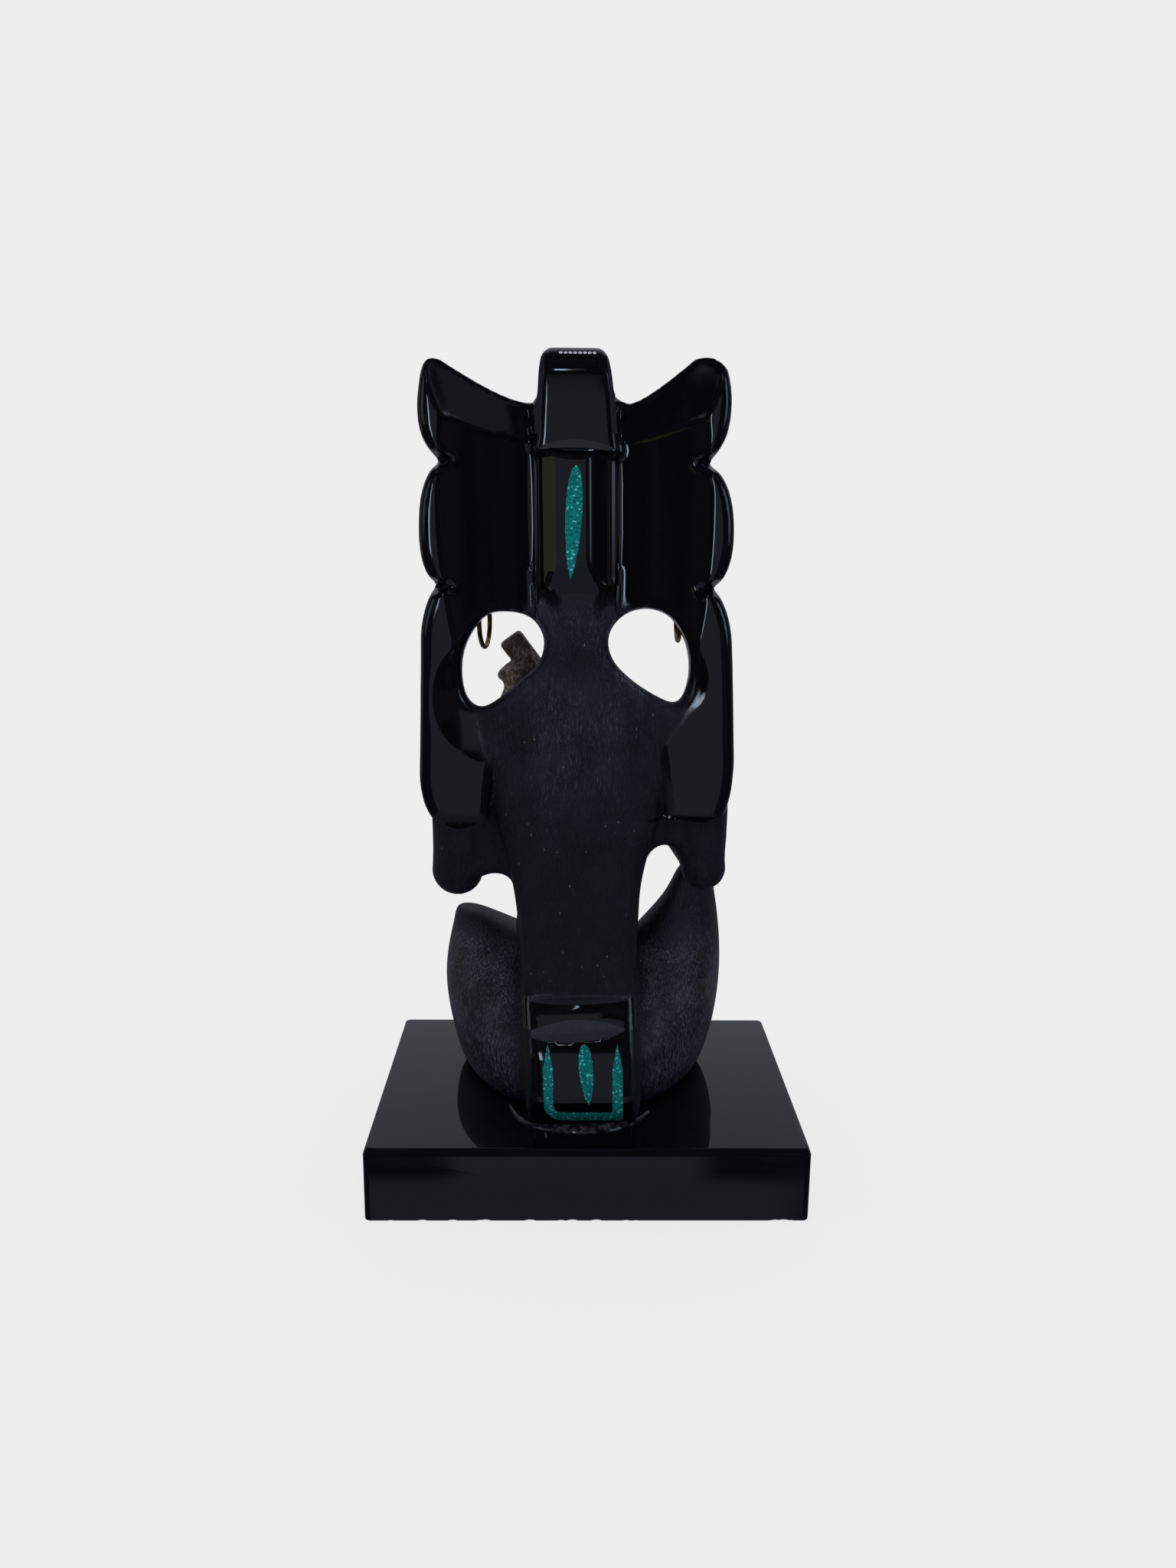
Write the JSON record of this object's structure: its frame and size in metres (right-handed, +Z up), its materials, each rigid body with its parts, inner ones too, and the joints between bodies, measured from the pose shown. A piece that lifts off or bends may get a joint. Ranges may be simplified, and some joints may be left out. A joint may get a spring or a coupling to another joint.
{
  "type": "seated deity statuette",
  "caption": "Carved obsidian figure of a seated deity with a tall feathered headdress, teal inlays and wire ear loops, glued on a polished obsidian slab.",
  "frame": {"origin": "centre of the slab's underside", "axes": "+Z up, the face looks along +Y and the carved back along -Y, +X to the right seen from behind"},
  "size_m": [0.0814, 0.058, 0.1532],
  "materials": {
    "base_obsidian": "obsidian slab, ground flat and polished to a mirror",
    "figure_obsidian": "obsidian, polished on the headdress and flap, fine ground matt on the body",
    "teal_inlay": "crushed teal stone set in resin and ground level",
    "bronze_wire": "drawn wire, darkened to bronze"
  },
  "bodies": {
    "root": {"obsidian_base": "base_obsidian", "obsidian_figure": "figure_obsidian", "strap_inlay": "teal_inlay", "flap_middle_inlay": "teal_inlay", "flap_u_inlay": "teal_inlay", "left_earring": "bronze_wire", "right_earring": "bronze_wire"}
  },
  "joints": []
}
